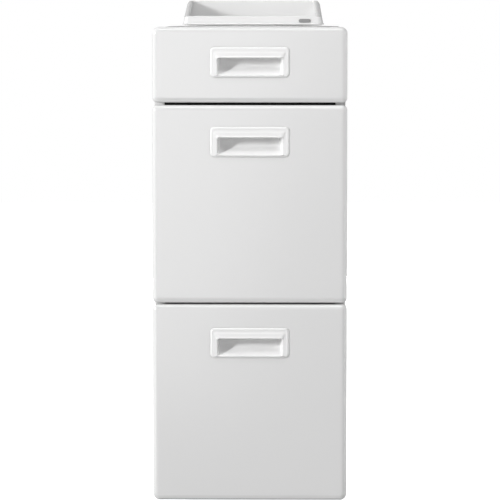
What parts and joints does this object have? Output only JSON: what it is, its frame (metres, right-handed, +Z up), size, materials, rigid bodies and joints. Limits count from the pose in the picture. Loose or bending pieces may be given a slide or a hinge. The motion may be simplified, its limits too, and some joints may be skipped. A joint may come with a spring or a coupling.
{
  "type": "three-drawer laundry storage tower",
  "caption": "Narrow white storage tower with a shallow and two deep drawers, finger pulls, an open top tray and levelling feet.",
  "frame": {"origin": "on the floor, at the centre of the overall footprint", "axes": "+Z up, the drawer fronts face -Y and open that way, +X is the right-hand side seen from the front"},
  "size_m": [0.391, 0.704, 1.0196],
  "materials": {
    "white_enamel": "smooth white baked enamel on sheet steel, semi-gloss",
    "white_plastic": "white moulded plastic, glossy",
    "pale_plastic": "pale grey moulded plastic, satin",
    "zinc_steel": "zinc-plated sheet steel, satin",
    "foot_plastic": "dark moulded pad on a zinc-plated stud",
    "rubber": "dark grey rubber, matt",
    "badge_metal": "small blank satin plate"
  },
  "bodies": {
    "cabinet": {"left_side_panel": "white_enamel", "right_side_panel": "white_enamel", "back_panel": "white_enamel", "top_panel": "white_enamel", "front_top_rail": "white_enamel", "front_bottom_rail": "white_enamel", "base_pan": "zinc_steel", "upper_divider_rail": "zinc_steel", "lower_divider_rail": "zinc_steel", "front_left_upright": "zinc_steel", "front_right_upright": "zinc_steel", "rear_left_upright": "zinc_steel", "rear_right_upright": "zinc_steel", "top_tray": "white_plastic", "tray_badge": "badge_metal", "top_left_slide_outer": "zinc_steel", "top_right_slide_outer": "zinc_steel", "middle_left_slide_outer": "zinc_steel", "middle_right_slide_outer": "zinc_steel", "bottom_left_slide_outer": "zinc_steel", "bottom_right_slide_outer": "zinc_steel"},
    "top_drawer": {"top_front_skin": "white_enamel", "top_front_liner": "white_enamel", "top_finger_pull": "white_plastic", "top_drawer_box": "white_enamel", "top_left_slide_inner": "zinc_steel", "top_left_bumper": "rubber", "top_right_slide_inner": "zinc_steel", "top_right_bumper": "rubber", "drawer_organiser": "pale_plastic"},
    "top_slide_middles": {"top_left_slide_middle": "zinc_steel", "top_right_slide_middle": "zinc_steel"},
    "middle_drawer": {"middle_front_skin": "white_enamel", "middle_front_liner": "white_enamel", "middle_finger_pull": "white_plastic", "middle_drawer_box": "white_enamel", "middle_left_slide_inner": "zinc_steel", "middle_left_bumper": "rubber", "middle_right_slide_inner": "zinc_steel", "middle_right_bumper": "rubber"},
    "middle_slide_middles": {"middle_left_slide_middle": "zinc_steel", "middle_right_slide_middle": "zinc_steel"},
    "bottom_drawer": {"bottom_front_skin": "white_enamel", "bottom_front_liner": "white_enamel", "bottom_finger_pull": "white_plastic", "bottom_drawer_box": "white_enamel", "bottom_left_slide_inner": "zinc_steel", "bottom_left_bumper": "rubber", "bottom_right_slide_inner": "zinc_steel", "bottom_right_bumper": "rubber", "lift_out_bin": "pale_plastic"},
    "bottom_slide_middles": {"bottom_left_slide_middle": "zinc_steel", "bottom_right_slide_middle": "zinc_steel"},
    "divider": {"drawer_divider": "pale_plastic"},
    "front_left_foot": {"front_left_levelling_foot": "foot_plastic"},
    "front_right_foot": {"front_right_levelling_foot": "foot_plastic"},
    "rear_left_foot": {"rear_left_levelling_foot": "foot_plastic"},
    "rear_right_foot": {"rear_right_levelling_foot": "foot_plastic"}
  },
  "joints": [
    {"name": "top_drawer_slide", "type": "slide", "parent": "cabinet", "child": "top_drawer", "axis": [0, -1, 0], "range_m": [0, 0.56]},
    {"name": "top_slide_middles_travel", "type": "slide", "parent": "cabinet", "child": "top_slide_middles", "axis": [0, -1, 0], "range_m": [0, 0.281]},
    {"name": "middle_drawer_slide", "type": "slide", "parent": "cabinet", "child": "middle_drawer", "axis": [0, -1, 0], "range_m": [0, 0.56]},
    {"name": "middle_slide_middles_travel", "type": "slide", "parent": "cabinet", "child": "middle_slide_middles", "axis": [0, -1, 0], "range_m": [0, 0.281]},
    {"name": "bottom_drawer_slide", "type": "slide", "parent": "cabinet", "child": "bottom_drawer", "axis": [0, -1, 0], "range_m": [0, 0.56]},
    {"name": "bottom_slide_middles_travel", "type": "slide", "parent": "cabinet", "child": "bottom_slide_middles", "axis": [0, -1, 0], "range_m": [0, 0.281]},
    {"name": "divider_slide", "type": "slide", "parent": "middle_drawer", "child": "divider", "axis": [0, 1, 0], "range_m": [-0.15, 0.15]},
    {"name": "front_left_foot_height", "type": "slide", "parent": "cabinet", "child": "front_left_foot", "axis": [0, 0, -1], "range_m": [0, 0.012]},
    {"name": "front_right_foot_height", "type": "slide", "parent": "cabinet", "child": "front_right_foot", "axis": [0, 0, -1], "range_m": [0, 0.012]},
    {"name": "rear_left_foot_height", "type": "slide", "parent": "cabinet", "child": "rear_left_foot", "axis": [0, 0, -1], "range_m": [0, 0.012]},
    {"name": "rear_right_foot_height", "type": "slide", "parent": "cabinet", "child": "rear_right_foot", "axis": [0, 0, -1], "range_m": [0, 0.012]}
  ],
  "couplings": [
    {"joint": "top_slide_middles_travel", "follows": "top_drawer_slide", "ratio": 0.5},
    {"joint": "middle_slide_middles_travel", "follows": "middle_drawer_slide", "ratio": 0.5},
    {"joint": "bottom_slide_middles_travel", "follows": "bottom_drawer_slide", "ratio": 0.5}
  ]
}
